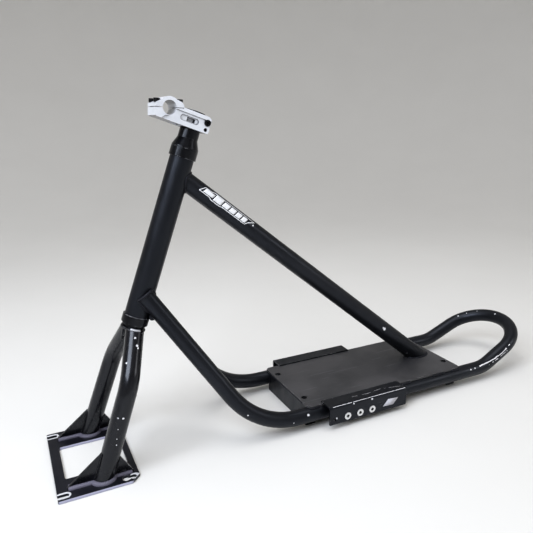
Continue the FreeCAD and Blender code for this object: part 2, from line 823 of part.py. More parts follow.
def side_pockets(side):
    """The waist of one side face, its long round-ended pocket, and the window inside that pocket."""
    name = "stem_left" if side > 0 else "stem_right"
    face = size("stem_half_width")
    waist = DOC.addObject("PartDesign::Body", name + "_waist")
    outline = new_sketch(waist, name + "_waist_outline", "XZ_Plane")
    toe_x = "ledge_toe_x + ledge_slope"
    corners = [("-2 * stem_rear", "-2 * stem_low"), (toe_x, "-2 * stem_low"), (toe_x, "-stem_low"),
               ("ledge_toe_x", "ledge_toe_z"), ("ledge_foot_x", "ledge_foot_z"),
               ("ledge_crest_x", "ledge_crest_z"), ("-2 * stem_rear", "ledge_crest_z")]
    add_polygon(outline, corners)
    pad(waist, outline, "4 * waist_depth", symmetric=True)

    def on_ledge(edge):
        centre = edge.CenterOfMass
        return runs_along(edge, V(0, 1, 0)) and centre.x > 0 and centre.z > NEAR - size("stem_low")

    round_edges(waist, "ledge_round", on_ledge)
    waist.Placement = stem_place(side=side * (face + size("waist_depth")))
    floor = face - size("waist_depth") - size("side_pocket_depth")
    low = size("side_pocket_z") - size("side_pocket_tall") / 2
    recess = box(name + "_recess", "side_pocket_long", "pocket_cut", "side_pocket_tall",
                 stem_place(size("side_pocket_x"), side * (floor + size("pocket_cut") / 2), low))
    window = box(name + "_window", "window_long", "pocket_cut", "window_tall",
                 stem_place(size("window_x"), side * floor, size("side_pocket_z") - size("window_tall") / 2))
    ends = []
    for number, shift in enumerate((-0.5, 0.5)):
        at = stem_place(size("side_pocket_x") + shift * size("side_pocket_long"), side * floor,
                        size("side_pocket_z"), FreeCAD.Rotation(UP, V(0, side, 0)))
        ends.append(cylinder("%s_recess_end_%d" % (name, number), "side_pocket_tall / 2", "pocket_cut", at))
    return [waist, recess, window] + ends


def make_clamp_cap():
    """The arched cap over the bar, with two bolt shoulders in front and two behind."""
    width = "2 * stem_half_width"
    beyond = -size("stem_half_width")
    arch = cylinder("cap_arch", "clamp_arch", width,
                    clamp_place(side=beyond).multiply(FreeCAD.Placement(V(0, 0, 0), ALONG_Y)))
    body = DOC.addObject("PartDesign::Body", "Cap")
    outline = new_sketch(body, "cap_outline", "XZ_Plane")
    add_polygon(outline, [("-clamp_rear", "split_gap / 2"), ("clamp_front", "split_gap / 2"),
                          ("clamp_front", "front_lip"), ("shoulder_along", "shoulder_high"),
                          ("-shoulder_along", "shoulder_high"),
                          ("rear_lip_slope - clamp_rear", "rear_lip_top"), ("-clamp_rear", "rear_lip")])
    pad(body, outline, width, symmetric=True)
    body.Placement = clamp_place()
    below = box("cap_below", "4 * clamp_arch", width, "2 * clamp_arch",
                clamp_place(above=size("split_gap") / 2 - 2 * size("clamp_arch")))
    bar = cylinder("cap_bar_hole", "bar_radius", "2 * (stem_half_width + overcut)",
                   clamp_place(side=beyond - size("overcut")).multiply(FreeCAD.Placement(V(0, 0, 0), ALONG_Y)))
    tools = [below, bar]
    for number, (along, side) in enumerate(clamp_bolt_spots()):
        tools.append(cylinder("cap_hole_%d" % number, "bolt_radius", "2 * clamp_arch",
                              clamp_place(along, side)))
        tools.append(cylinder("cap_spot_%d" % number, "bolt_head_radius + head_slack", "2 * clamp_arch",
                              clamp_place(along, side, size("cap_seat"))))
    keep("stem_clamp_cap", cut("stem_clamp_cap", fuse("cap_solid", arch, body), *tools))


def socket_bolt(name, seat, shank_length):
    """A socket-head bolt whose head stands on its seat and whose shank hangs below it."""
    head = cylinder(name + "_head", "bolt_head_radius", "bolt_head_tall", seat)
    below = seat.multiply(moved(z=-number_of(shank_length)))
    shank = cylinder(name + "_shank", "bolt_radius", shank_length, below)
    socket = DOC.addObject("Part::Prism", name + "_socket")
    socket.Polygon = 6
    bind(socket, Circumradius="hex_socket", Height="bolt_head_tall")
    socket.Placement = seat.multiply(moved(z=size("bolt_head_tall") / 2))
    return cut(name, fuse(name + "_solid", head, shank), socket)


def make_stem_bolts():
    clamps = []
    for number, (along, side) in enumerate(clamp_bolt_spots()):
        seat = clamp_place(along, side, size("cap_seat"))
        clamps.append(socket_bolt("clamp_bolt_%d" % number, seat, "cap_seat + clamp_thread"))
    keep("stem_clamp_bolts", group("stem_clamp_bolts", *clamps))
    pinches = []
    for name, side, high in pinch_spots():
        pinches.append(socket_bolt(name + "_pinch", pinch_seat(side, high), "pinch_shank"))
    keep("stem_pinch_bolts", group("stem_pinch_bolts", *pinches))


def make_top_cap():
    """Preload cap on the stem, its bolt, and the star nut that the bolt pulls against."""
    top = number_of("stem_bottom + stem_low + stem_high")
    seat = at_station(top - size("top_cap_sink"))
    disc = cylinder("top_cap_disc", "top_cap_radius", "top_cap_thick", at_station(top))
    dish = cylinder("top_cap_dish_wall", "top_cap_dish_radius", "top_cap_dish + top_cap_thick",
                    at_station(top - size("top_cap_dish")))
    head_room = cylinder("top_cap_room", "bolt_head_radius + head_slack", "2 * bolt_head_tall", seat)
    hole = cylinder("top_cap_hole", "bolt_radius", "2 * top_cap_dish", at_station(top - size("top_cap_dish")))
    keep("stem_top_cap", cut("stem_top_cap", fuse("top_cap_solid", disc, dish), head_room, hole))
    keep("top_cap_bolt", socket_bolt("top_cap_bolt", seat, "preload_shank"))
    low = top - size("star_nut_depth")
    hub = cylinder("star_hub", "2 * bolt_radius", "star_nut_tall", at_station(low))
    lower = cylinder("star_lower", "steerer_bore", "star_thick", at_station(low))
    upper = cylinder("star_upper", "steerer_bore", "star_thick",
                     at_station(low + size("star_nut_tall") - size("star_thick")))
    thread = cylinder("star_thread", "bolt_radius", "star_nut_tall", at_station(low))
    keep("star_nut", cut("star_nut", fuse("star_solid", hub, lower, upper), thread))


# ---------------------------------------------------------------- fork


def make_leg(side, sign, steerer_bar):
    """A fork leg: down and out from the crown, a bend, and on to the board plate."""
    node = side + "_fork_leg"
    crown = on_axis(size("leg_top_station"), side=sign * size("leg_top_half"))
    knee = on_axis(size("leg_knee_station"), side=sign * size("leg_knee_half"))
    foot_station = number_of("(plate_thick - cross_tube_tall - deck_thick) / cos(axis_rake * 1deg)")
    foot = on_axis(foot_station, side=sign * size("leg_foot_half"))
    top = crown + (crown - knee).normalize() * (2 * size("leg_radius"))
    low = foot + (foot - knee).normalize() * (2 * size("leg_radius"))
    path = bent_path(node + "_path", [top, knee, low], [size("leg_bend")])
    bar, hollow = tube_along(node, path, "leg_radius", "leg_wall", top, knee - top)
    above = box(node + "_above", "6 * leg_radius", "8 * leg_radius", "4 * leg_radius",
                at_station(size("crown_station")))
    reach = 3 * size("leg_radius")
    across = box(node + "_across", "6 * leg_radius", "6 * leg_radius", "6 * leg_radius",
                 FreeCAD.Placement(on_axis(size("leg_top_station") - reach, side=-sign * reach), RAKE))
    under = box(node + "_under", "6 * leg_radius", "6 * leg_radius", "4 * leg_radius",
                moved(foot.x, foot.y, size("plate_thick") - 4 * size("leg_radius")))
    keep(node, cut(node, hollow, above, across, under, steerer_bar))
    return bar


def make_board_plate():
    """The rectangular frame that a board bolts under: open slots in front, keyholes at the back."""
    body = DOC.addObject("PartDesign::Body", "BoardPlate")
    outline = new_sketch(body, "plate_outline", "XY_Plane")
    half = "plate_half_width"
    nook = "(plate_half_width - plate_rear_chamfer)"
    add_polygon(outline, [("plate_rear_x", "-" + nook), ("plate_rear_x + plate_rear_chamfer", "-" + half),
                          ("plate_front_x", "-" + half), ("plate_front_x", half),
                          ("plate_rear_x + plate_rear_chamfer", half), ("plate_rear_x", nook)])
    pad(body, outline, "plate_thick")
    round_edges(body, "plate_corner", lambda edge: runs_along(edge, UP))
    window = new_sketch(body, "plate_window", "XY_Plane")
    add_polygon(window, rectangle("plate_rear_x + plate_rear_bar", "plate_front_x - plate_front_bar",
                                  "plate_side_bar - plate_half_width", "plate_half_width - plate_side_bar"))
    pocket(body, window, "4 * plate_thick")

    def in_window(edge):
        return runs_along(edge, UP) and abs(edge.CenterOfMass.y) < size("leg_foot_half")

    round_edges(body, "window_corner", in_window)
    for side, sign in SIDES.items():
        middle = "%d * slot_half_track" % sign
        for name, back, front in (("front", "front_slot_end_x", "plate_front_x + plate_thick"),
                                  ("rear", "rear_slot_end_x", "keyhole_x")):
            slot = new_sketch(body, "%s_%s_slot" % (side, name), "XY_Plane")
            add_polygon(slot, rectangle(back, front, middle + " - slot_radius", middle + " + slot_radius"))
            pocket(body, slot, "4 * plate_thick")
        for name, centre, radius in (("front_slot_end", "front_slot_end_x", "slot_radius"),
                                     ("rear_slot_end", "rear_slot_end_x", "slot_radius"),
                                     ("keyhole", "keyhole_x", "keyhole_radius")):
            end = new_sketch(body, "%s_%s" % (side, name), "XY_Plane")
            add_circle(end, centre, middle, radius)
            pocket(body, end, "4 * plate_thick")
    keep("board_plate", body)


def make_gusset(side, sign, place, leg_bar):
    """A triangular web between a leg's foot and the plate, in front of the leg or behind it."""
    node = "%s_%s_gusset" % (side, place)
    tip = "gusset_%s_x" % place
    tall = "gusset_%s_tall" % place
    sense = "+" if place == "front" else "-"
    height = "(plate_thick + %s)" % tall
    low_x = "axis_x + (cross_tube_tall + deck_thick - plate_thick) * tan(axis_rake * 1deg)"
    high_x = "axis_x + (cross_tube_tall + deck_thick - %s) * tan(axis_rake * 1deg)" % height
    surface = "%s %s (leg_radius / cos(axis_rake * 1deg) + gusset_land)" % (high_x, sense)
    body = DOC.addObject("PartDesign::Body", node + "_body")
    outline = new_sketch(body, node + "_outline", "XZ_Plane")
    add_polygon(outline, [(low_x, "plate_thick"), (tip, "plate_thick"), (tip, "plate_thick + gusset_toe"),
                          (surface, height), (high_x, height)])
    pad(body, outline, "gusset_thick", symmetric=True)
    body.Placement = moved(y=sign * size("leg_foot_half"))
    keep(node, cut(node, body, leg_bar))


# ---------------------------------------------------------------- build and write


def build():
    head_bar = make_head_tube()
    make_deck()
    rail_bars = [make_rail(side, sign, head_bar) for side, sign in SIDES.items()]
    for end, sign in (("front", 1), ("rear", -1)):
        make_cross_tube(end + "_cross_tube", sign * size("bolt_pitch_long") / 2, rail_bars)
    make_hoop()
    make_top_tube(head_bar)
    for side, sign in SIDES.items():
        make_strap_plate(side, sign)
        make_strap_inserts(side, sign)
    make_cups()
    make_ball_set("lower", lower_ball_station())
    make_ball_set("upper", upper_ball_station())
    make_steerer()
    make_headset_stack()
    make_stem_body()
    make_clamp_cap()
    make_stem_bolts()
    make_top_cap()
    steerer_bar = cylinder("steerer_bar", "steerer_radius", "crown_station",
                           at_station(size("steerer_bottom")))
    make_board_plate()
    for side, sign in SIDES.items():
        leg_bar = make_leg(side, sign, steerer_bar)
        for place in ("front", "rear"):
            make_gusset(side, sign, place, leg_bar)


def write_parts():
    """Stop at any failed object or bad shape, then write one STEP file per sub-part."""
    DOC.removeObject(GAUGE.Name)
    DOC.recompute()
    failed = [item.Name for item in DOC.Objects if "Invalid" in item.State or "Error" in item.State]
    if failed:
        raise RuntimeError("failed objects: " + ", ".join(failed))
    for node, item in NODES.items():
        if item.Shape.isNull() or not item.Shape.isValid():
            raise RuntimeError("bad shape: " + node)
    os.makedirs("parts", exist_ok=True)
    for node, item in NODES.items():
        item.Shape.exportStep("parts/%s.step" % node)
        print("%-20s solids %2d  volume %10.1f mm3" % (node, len(item.Shape.Solids), item.Shape.Volume))


build()
write_parts()
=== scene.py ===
import functools
import json
import math

import bmesh
import bpy
from mathutils import Matrix, Vector, noise


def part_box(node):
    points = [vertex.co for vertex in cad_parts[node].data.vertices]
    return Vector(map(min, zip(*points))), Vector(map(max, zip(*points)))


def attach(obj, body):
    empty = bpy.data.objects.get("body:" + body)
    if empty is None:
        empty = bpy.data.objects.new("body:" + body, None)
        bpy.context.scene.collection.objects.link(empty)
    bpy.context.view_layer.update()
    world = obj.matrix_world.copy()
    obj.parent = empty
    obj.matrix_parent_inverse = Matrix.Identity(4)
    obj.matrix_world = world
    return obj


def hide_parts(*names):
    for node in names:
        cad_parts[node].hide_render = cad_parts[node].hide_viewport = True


# Snow scooter frame set. Points and sizes are written in millimetres in the row frame (+X forward,
# +Y left, +Z up) and turned into metres by mm(). The stage, lights and camera are written in metres.

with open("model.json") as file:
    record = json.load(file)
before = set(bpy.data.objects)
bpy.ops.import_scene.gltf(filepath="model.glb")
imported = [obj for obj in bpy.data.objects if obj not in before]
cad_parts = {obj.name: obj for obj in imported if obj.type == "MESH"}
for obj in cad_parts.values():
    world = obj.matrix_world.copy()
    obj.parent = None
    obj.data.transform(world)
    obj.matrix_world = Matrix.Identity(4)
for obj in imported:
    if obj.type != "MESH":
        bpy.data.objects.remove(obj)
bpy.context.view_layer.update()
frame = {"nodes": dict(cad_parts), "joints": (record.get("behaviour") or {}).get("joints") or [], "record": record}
SIDES = {"left": 1, "right": -1}


def mm(*values):
    """Metres from millimetres: a number, or a vector from three of them."""
    return values[0] * 0.001 if len(values) == 1 else Vector(values) * 0.001


STEERING = next(joint for joint in frame["joints"] if joint["name"] == "steering_turn")
AXIS_FOOT = Vector(STEERING["pos_m"])
AXIS_UP = Vector(STEERING["axis"]).normalized()
AXIS_FORE = Vector((AXIS_UP.z, 0.0, -AXIS_UP.x))
LEFT = Vector((0.0, 1.0, 0.0))
UP = Vector((0.0, 0.0, 1.0))


def on_axis(station, fore=0.0, side=0.0):
    """A point given up the steering axis, forward of it and to its left, all in millimetres."""
    return AXIS_FOOT + AXIS_UP * mm(station) + AXIS_FORE * mm(fore) + LEFT * mm(side)


# ---------------------------------------------------------------- sizes of the CAD pieces

HEAD_TUBE_RADIUS = 20.0
HEAD_TUBE_BOTTOM = 213.5
TOP_TUBE_TOP = on_axis(457.4)
TOP_TUBE_FOOT = mm(-143.8, 0, 44)
TOP_TUBE_RADIUS = 15.9
TOP_TUBE_FOOT_RADIUS = 17.0  # about the mean of its oval section there
RAIL_RADIUS = 14.3
RAIL_SIDE = 86.5
RAIL_BEND = (284.0, 25.7)  # x and z of the rails' front bend
RAIL_TOP_STATION = 252.9
RAIL_TOP_SIDE = 13.9
EDGE_WEAR_REAR_X = -195.0  # just behind the deck; further back the edges keep their paint
DECK_TOP = 44.0
DECK_HALF = 92.0
CROSS_TUBE_TOP = 40.0
CROSS_TUBE_HALF_DEPTH = 10.0
BOLT_X = 173.0
BOLT_Y = 55.0
STRAP_TOP = 47.0
LEG_RADIUS = 15.4
LEG_KNEE = on_axis(119.3)
LEG_KNEE_SIDE = 66.5
LEG_FOOT_SIDE = 76.0
CROWN_BEAD_STATION = 191.0
PLATE_TOP = 5.0
SLOT_SIDE = 90.5
SLOTS = [(613.0, 622.0), (506.5, 507.5)]  # first and last x of each slot's rim, front and rear


# ---------------------------------------------------------------- procedural materials


class Look:
    """A node material while it is being wired."""

    def __init__(self, name):
        self.material = bpy.data.materials.new(name)
        self.material.use_nodes = True
        self.tree = self.material.node_tree
        self.shader = self.tree.nodes["Principled BSDF"]
        self.place = self.add("ShaderNodeTexCoord").outputs["Object"]

    def add(self, kind, inputs=None, **settings):
        node = self.tree.nodes.new(kind)
        for key, value in settings.items():
            setattr(node, key, value)
        for key, value in (inputs or {}).items():
            self.feed(node.inputs[key], value)
        return node

    def feed(self, socket, value):
        if isinstance(value, bpy.types.NodeSocket):
            self.tree.links.new(value, socket)
        else:
            socket.default_value = value

    def set(self, **inputs):
        """Feed the shader's own sockets, written with underscores for spaces."""
        for key, value in inputs.items():
            self.feed(self.shader.inputs[key.replace("_", " ")], value)

    def calc(self, operation, first, second=0.0):
        return self.add("ShaderNodeMath", {0: first, 1: second}, operation=operation).outputs[0]

    def vector(self, operation, first, second=(0.0, 0.0, 0.0)):
        """Vector arithmetic; its outputs are Vector and Value."""
        return self.add("ShaderNodeVectorMath", {0: first, 1: second}, operation=operation).outputs

    def most(self, masks):
        """The largest of several masks."""
        return functools.reduce(lambda total, mask: self.calc("MAXIMUM", total, mask), masks)

    def along(self, axis):
        """The place along one of the object's axes."""
        return self.add("ShaderNodeSeparateXYZ", {0: self.place}).outputs[axis]

    def stretched(self, scale, turn=0.0):
        """The object's coordinates turned about Z and scaled unevenly, for streaks."""
        mapping = self.add("ShaderNodeMapping", {"Vector": self.place, "Scale": scale})
        mapping.inputs["Rotation"].default_value = (0.0, 0.0, turn)
        return mapping.outputs[0]

    def noise(self, scale, detail=3.0, place=None):
        inputs = {"Vector": place or self.place, "Scale": scale, "Detail": detail}
        return self.add("ShaderNodeTexNoise", inputs).outputs["Fac"]

    def step(self, value, low, high, start=0.0, end=1.0):
        """A smooth step from start to end as the value goes from low to high."""
        inputs = {"Value": value, "From Min": low, "From Max": high, "To Min": start, "To Max": end}
        return self.add("ShaderNodeMapRange", inputs, interpolation_type="SMOOTHSTEP").outputs[0]

    def blend(self, share, first, second):
        """A mix of two colours."""
        return self.add("ShaderNodeMix", {0: share, 6: first, 7: second}, data_type="RGBA").outputs[2]

    def level(self, share, first, second):
        """A mix of two numbers."""
        return self.add("ShaderNodeMix", {0: share, 2: first, 3: second}, data_type="FLOAT").outputs[0]

    def edges(self, radius, low, high):
        """How far the surface turns within this radius: 1 on an outer or inner edge."""
        soft = self.add("ShaderNodeBevel", {"Radius": radius}, samples=4).outputs[0]
        hard = self.add("ShaderNodeNewGeometry").outputs["Normal"]
        agreement = self.vector("DOT_PRODUCT", soft, hard)["Value"]
        return self.step(self.calc("SUBTRACT", 1.0, agreement), low, high)

    def hollows(self, reach, low, high):
        """How deep a spot sits in a hollow or an inner corner: 1 in the deepest."""
        node = self.add("ShaderNodeAmbientOcclusion", {"Distance": reach}, samples=8)
        return self.step(node.outputs["AO"], low, high, 1.0, 0.0)

    def facing(self, axis, low, high):
        """How far the surface faces along one of the piece's own axes, from 0 at low to 1 at high."""
        normal = self.add("ShaderNodeTexCoord").outputs["Normal"]
        return self.step(self.add("ShaderNodeSeparateXYZ", {0: normal}).outputs[axis], low, high)

    def spots(self, centres, ragged=0.0022):
        """Ragged patches, each given by a centre and a radius in metres."""
        wobble = self.add("ShaderNodeTexNoise", {"Vector": self.place, "Scale": 420.0, "Detail": 2.0})
        shift = self.vector("SUBTRACT", wobble.outputs["Color"], (0.5, 0.5, 0.5))["Vector"]
        shift = self.add("ShaderNodeVectorMath", {0: shift, "Scale": ragged}, operation="SCALE").outputs[0]
        moved = self.vector("ADD", self.place, shift)["Vector"]
        masks = []
        for centre, radius in centres:
            away = self.vector("DISTANCE", moved, tuple(centre))["Value"]
            masks.append(self.step(away, radius * 0.8, radius, 1.0, 0.0))
        return self.most(masks)

    def rims(self, slots, side, reach, floor):
        """Ragged rims round straight slots along X, on both sides and above a height."""
        uneven = self.calc("ADD", mm(reach - 1.0), self.calc("MULTIPLY", self.noise(300.0), mm(2.0)))
        masks = []
        for low, high in slots:
            away = self.calc("ABSOLUTE", self.calc("SUBTRACT", self.along(0), mm((low + high) / 2)))
            beyond = self.calc("MAXIMUM", self.calc("SUBTRACT", away, mm((high - low) / 2)), 0.0)
            for offset in (side, -side):
                across = self.calc("SUBTRACT", self.along(1), mm(offset))
                flat = self.add("ShaderNodeCombineXYZ", {0: beyond, 1: across}).outputs[0]
                masks.append(self.calc("LESS_THAN", self.vector("LENGTH", flat)["Value"], uneven))
        return self.calc("MULTIPLY", self.most(masks), self.calc("GREATER_THAN", self.along(2), mm(floor)))

    def crumbs(self, scale, share, size):
        """Sparse small chips: one random cell in many holds a chip."""
        cell = self.add("ShaderNodeTexVoronoi", {"Vector": self.place, "Scale": scale})
        draw = self.add("ShaderNodeSeparateColor", {0: cell.outputs["Color"]}).outputs[0]
        chosen = self.step(draw, 1.0 - share, 1.0 - share + 0.001)
        ragged = self.calc("ADD", cell.outputs["Distance"], self.calc("MULTIPLY", self.noise(900.0), 0.12))
        return self.calc("MULTIPLY", chosen, self.step(ragged, size + 0.06, size + 0.10, 1.0, 0.0))

    def bump(self, height, strength):
        node = self.add("ShaderNodeBump", {"Height": height, "Strength": strength, "Distance": mm(1.0)})
        self.set(Normal=node.outputs[0])


BARE_STEEL = (0.78, 0.79, 0.83, 1.0)
# Pale bluish grey for a painted highlight on the board plate's lit side face.
LIT_SIDE_COLOUR = (0.42, 0.42, 0.54, 1.0)
NICKED = (0.02, 0.02, 0.022, 1.0)


def shaded(colour, factor, lift=0.0):
    """The colour made darker or lighter."""
    return tuple(factor * part + lift for part in colour[:3]) + (1.0,)


def paint(name, colour, rough, gloss_coat, chips=(), edge_share=0.5, crumb_share=0.05, slotted=False,
          edge_start=0.5, shine=0.22):
    """Black paint on metal: uneven sheen, fine orange peel, dust, worn edges and chips to bright metal.

    A slotted plate also has bare rims round its slots and a painted highlight on its left long side face.
    """
    look = Look(name)
    dust = look.step(look.noise(9.0, 6.0), 0.45, 0.75)
    smear = look.noise(55.0, 4.0, look.stretched((1.0, 1.0, 0.35)))
    patches = look.step(look.noise(160.0, 3.0), edge_start, edge_start + 0.08)
    ahead = look.calc("GREATER_THAN", look.along(0), mm(EDGE_WEAR_REAR_X))
    worn = look.calc("MULTIPLY", look.edges(mm(0.9), 0.03, 0.16), ahead)
    masks = [look.calc("MULTIPLY", look.calc("MULTIPLY", worn, patches), edge_share)]
    if crumb_share:
        masks.append(look.crumbs(42.0, crumb_share, 0.05))
    if slotted:
        masks.append(look.rims(SLOTS, SLOT_SIDE, 7.7, PLATE_TOP - 0.3))
    if chips:
        masks.append(look.spots(chips))
    bare = look.most(masks)
    painted = look.blend(look.calc("MULTIPLY", dust, 0.6), colour, shaded(colour, 1.8, 0.003))
    if slotted:
        # The plate's left long side face is painted pale and bluish, a painted highlight of the light falling on
        # it; the walls of its slots aren't.
        off_track = look.calc("SUBTRACT", look.calc("ABSOLUTE", look.along(1)), mm(SLOT_SIDE))
        off_track = look.calc("GREATER_THAN", look.calc("ABSOLUTE", off_track), mm(9.5))
        lit_side = look.calc("MULTIPLY", look.facing(1, 0.6, 0.9), off_track)
        painted = look.blend(lit_side, painted, LIT_SIDE_COLOUR)
    sheen = look.level(look.step(smear, 0.3, 0.7), rough * 0.85, rough * 1.2)
    look.set(Base_Color=look.blend(bare, painted, BARE_STEEL), Metallic=look.calc("MULTIPLY", bare, 0.45),
             Roughness=look.level(bare, sheen, 0.36))
    look.set(Specular_IOR_Level=shine, Specular_Tint=(0.80, 0.86, 1.0, 1.0))
    look.set(Coat_Weight=gloss_coat, Coat_Roughness=0.16)
    peel = look.calc("MULTIPLY", look.noise(650.0, 2.0), 0.06)
    look.bump(look.calc("SUBTRACT", peel, look.calc("MULTIPLY", bare, 0.25)), 0.5)
    return look.material


def scuffed_deck():
    """The foot deck's flat black, greyed partly by boots and partly by painted reflection: long faint scuffs, dark
    dirt round the bolt holes and painted shade inside them.
    """
    look = Look("scuffed_deck")
    cloud = look.step(look.noise(11.0, 7.0), 0.35, 0.7)
    # The base greys are partly the deck's worn paint and partly painted reflection of the room's light.
    colour = look.blend(cloud, (0.032, 0.032, 0.035, 1.0), (0.062, 0.060, 0.063, 1.0))
    streaks = []
    for turn, stretch, cut in ((0.2, 26.0, 0.67), (-0.5, 34.0, 0.69), (1.3, 30.0, 0.70)):
        grain = look.noise(6.0, 5.0, look.stretched((1.0, stretch, 1.0), turn))
        streaks.append(look.step(grain, cut, cut + 0.03))
    scratches = look.calc("MULTIPLY", look.most(streaks), 0.55)
    worn = look.calc("MULTIPLY", look.edges(mm(0.8), 0.03, 0.16), look.step(look.noise(90.0), 0.45, 0.6))
    colour = look.blend(scratches, colour, (0.11, 0.11, 0.12, 1.0))
    # Near black in and round the bolt holes: painted shade inside the holes, and dirt round their rims.
    holes = [(mm(BOLT_X * end, BOLT_Y * side, DECK_TOP), mm(7.2)) for end in (-1, 1) for side in (-1, 1)]
    colour = look.blend(look.spots(holes, 0.0012), colour, (0.006, 0.006, 0.007, 1.0))
    look.set(Base_Color=look.blend(look.calc("MULTIPLY", worn, 0.35), colour, BARE_STEEL))
    look.set(Roughness=look.level(cloud, 0.42, 0.56))
    fine = look.calc("MULTIPLY", look.noise(1400.0, 2.0), 0.05)
    look.bump(look.calc("SUBTRACT", fine, look.calc("MULTIPLY", scratches, 0.1)), 0.6)
    return look.material


def metal(name, colour, rough, brushed=0.0, metallic=1.0, grime=0.3):
    """A plain machined or plated metal with fine lines and a little grime in it."""
    look = Look(name)
    lines = look.noise(300.0, 3.0, look.stretched((1.0, 1.0, 14.0)))
    dirt = look.calc("MULTIPLY", look.step(look.noise(70.0, 5.0), 0.5, 0.8), grime)
    look.set(Base_Color=look.blend(dirt, colour, shaded(colour, 0.45)), Metallic=metallic)
    look.set(Roughness=look.level(lines, rough * 0.8, rough * 1.3))
    look.bump(lines, brushed)
    return look.material


def stem_white():
    """White-finished aluminium: clean satin faces, with painted shade greying the downward faces and darkening the
    hollows and inner corners.
    """
    look = Look("stem_white")
    cloud = look.step(look.noise(38.0, 5.0), 0.3, 0.8)
    clean = look.blend(cloud, (0.80, 0.82, 0.87, 1.0), (0.70, 0.72, 0.78, 1.0))
    # Painted shade: faces turned downwards are greyed, and hollows and inner corners within 5 mm are darkened
    # almost to black.
    underside_shaded = look.blend(look.facing(2, -0.25, -0.75), clean, (0.16, 0.16, 0.18, 1.0))
    look.set(Base_Color=look.blend(look.hollows(mm(5.0), 0.35, 0.92), underside_shaded, (0.035, 0.035, 0.045, 1.0)))
    look.set(Roughness=look.level(look.noise(120.0, 4.0), 0.26, 0.40), Metallic=0.25)
    look.set(Coat_Weight=0.3, Coat_Roughness=0.12)
    look.bump(look.noise(900.0, 2.0), 0.05)
    return look.material


def vinyl(name, colour, rough):
    """A sticker: flat colour, slightly mottled, with small nicks showing the paint below."""
    look = Look(name)
    nicks = look.crumbs(260.0, 0.10, 0.12)
    mottled = look.blend(look.noise(180.0, 3.0), colour, shaded(colour, 0.86))
    look.set(Base_Color=look.blend(nicks, mottled, NICKED))
    look.set(Roughness=look.level(look.noise(90.0), rough * 0.85, rough * 1.15))
    look.bump(look.noise(500.0), 0.05)
    return look.material


# Bare spots: a centre in millimetres and a radius.
RAIL_CHIPS = [((188.5, 98.7, 33.0), 2.6), ((305.0, 89.8, 58.8), 1.6), ((219.6, 100.5, 26.0), 1.2)]
HOOP_CHIPS = [
    ((-210.0, 98.2, 33.9), 1.8), ((-222.0, 98.0, 34.5), 1.5), ((-381.0, -1.3, 97.5), 1.9),
    ((-369.6, -45.9, 92.8), 1.2), ((-336.0, -72.8, 76.9), 1.7), ((-352.0, -62.0, 86.0), 1.0),
]
TOP_TUBE_CHIPS = [
    ((-41.2, 16.3, 129.4), 3.6), ((-38.0, 15.9, 132.5), 2.0), ((253.0, 14.3, 378.2), 1.8),
    ((-107.4, 13.0, 59.8), 1.2),
]
STRAP_CHIPS = [((102.0, 117.7, 43.6), 1.8), ((61.0, 117.9, 42.7), 2.2), ((141.6, 118.0, 21.8), 2.3)]
FORK_CHIPS = [
    ((477.7, 36.9, 218.8), 2.0), ((477.0, 44.6, 208.0), 2.2), ((476.4, 46.0, 204.0), 1.6),
    ((515.7, 86.2, 107.7), 1.8), ((525.9, 87.5, 91.8), 1.1), ((529.2, 89.6, 76.2), 0.9),
    ((530.3, 90.8, 66.5), 1.0),
]


def near_surface(nodes, point):
    """The closest point on these CAD pieces, and the way out of the surface there."""
    best = None
    for node in nodes:
        piece = frame["nodes"][node]
        found, spot, normal, _ = piece.closest_point_on_mesh(piece.matrix_world.inverted() @ point)
        spot = piece.matrix_world @ spot
        gap = (spot - point).length
        if found and (best is None or gap < best[0]):
            best = (gap, spot, (piece.matrix_world.to_3x3() @ normal).normalized())
    return best[1], best[2]


def on_surface(chips, slot):
    """The chips in metres, moved onto the nearest piece that has this paint."""
    nodes = [entry["node"] for entry in frame["record"]["subparts"] if entry["material_slot"] == slot]
    return [(near_surface(nodes, mm(*centre))[0], mm(radius)) for centre, radius in chips]


ALL_FRAME_CHIPS = on_surface(RAIL_CHIPS + HOOP_CHIPS + TOP_TUBE_CHIPS + STRAP_CHIPS, "frame_paint")
ALL_FORK_CHIPS = on_surface(FORK_CHIPS, "fork_paint")

